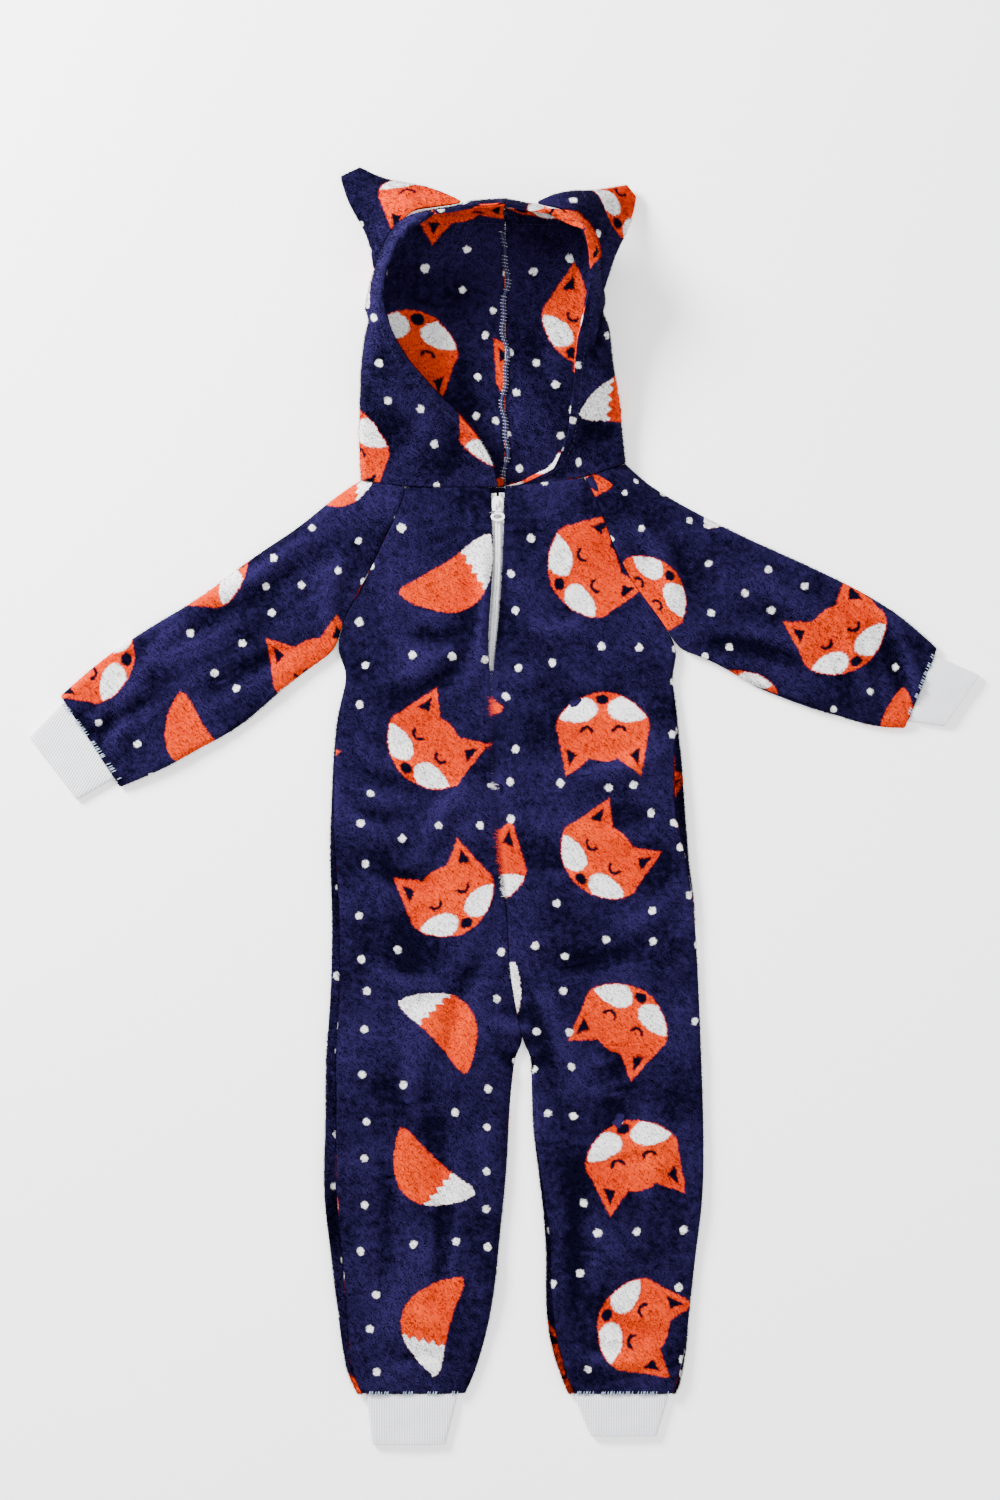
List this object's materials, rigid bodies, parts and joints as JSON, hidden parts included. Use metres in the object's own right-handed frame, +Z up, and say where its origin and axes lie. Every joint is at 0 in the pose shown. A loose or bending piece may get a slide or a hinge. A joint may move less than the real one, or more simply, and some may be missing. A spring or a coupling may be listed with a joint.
{
  "type": "hooded sleepsuit",
  "caption": "Child's hooded plush sleepsuit with pointed ears, knit cuffs and a front zip, laid flat on its back.",
  "frame": {"origin": "centre of the bounding box in the plan, on the surface the garment lies on", "axes": "+X to the wearer's left, +Y from the ankles to the hood, +Z up from the surface"},
  "size_m": [0.9056, 1.216, 0.079],
  "materials": {
    "plush": "short soft pile",
    "rib_knit": "fine rib knit",
    "zip_tape": "woven",
    "zip_nylon": "smooth"
  },
  "bodies": {
    "garment": {"front_right": "plush", "front_left": "plush", "back_right": "plush", "back_left": "plush", "sleeve_right": "plush", "sleeve_left": "plush", "hood_right": "plush", "hood_left": "plush", "ear_right_front": "plush", "ear_right_back": "plush", "ear_left_front": "plush", "ear_left_back": "plush", "wrist_cuff_right": "rib_knit", "wrist_cuff_left": "rib_knit", "ankle_cuff_right": "rib_knit", "ankle_cuff_left": "rib_knit", "zip_tape_right": "zip_tape", "zip_tape_left": "zip_tape", "zip_slider": "zip_nylon"},
    "pull_tab": {"zip_pull": "zip_nylon"}
  },
  "joints": [
    {"name": "pull_hinge", "type": "hinge", "parent": "garment", "child": "pull_tab", "pos_m": [-0.00597, 0.2875, 0.01735], "axis": [-1, 0, 0], "range_deg": [0, 140]}
  ]
}
